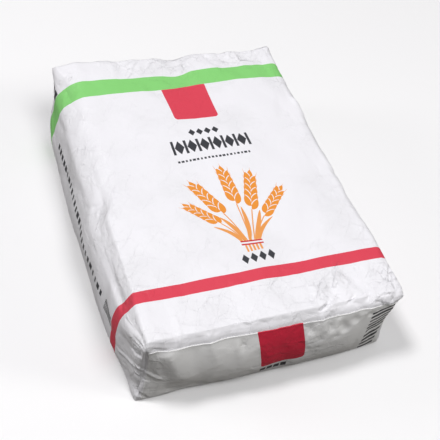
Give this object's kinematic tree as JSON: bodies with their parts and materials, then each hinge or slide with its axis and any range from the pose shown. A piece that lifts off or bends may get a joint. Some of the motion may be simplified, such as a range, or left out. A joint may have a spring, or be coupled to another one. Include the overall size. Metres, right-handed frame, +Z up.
{
  "type": "paper sack of flour",
  "caption": "Filled paper sack of flour lying on its back, shut, with bulging sides, crisp folds, pinched corners and cover sheets glued over both block ends.",
  "frame": {"origin": "on the floor, under the middle of the sack", "axes": "+Y along the sack, with the near end at -Y; +Z up, out of the printed front panel"},
  "size_m": [0.4584, 0.6264, 0.1493],
  "materials": {
    "sack_paper": "bleached white sack paper, smooth, a little glossy, creased over the flour",
    "cover_paper": "white sack paper glued over the block ends, satin",
    "green_print": "light green print on the paper",
    "red_print": "red print on the paper",
    "orange_print": "orange print on the paper",
    "dark_print": "dark grey print on the paper"
  },
  "bodies": {
    "root": {"sack_body": "sack_paper", "near_end_sheet": "cover_paper", "far_end_sheet": "cover_paper"}
  },
  "joints": []
}
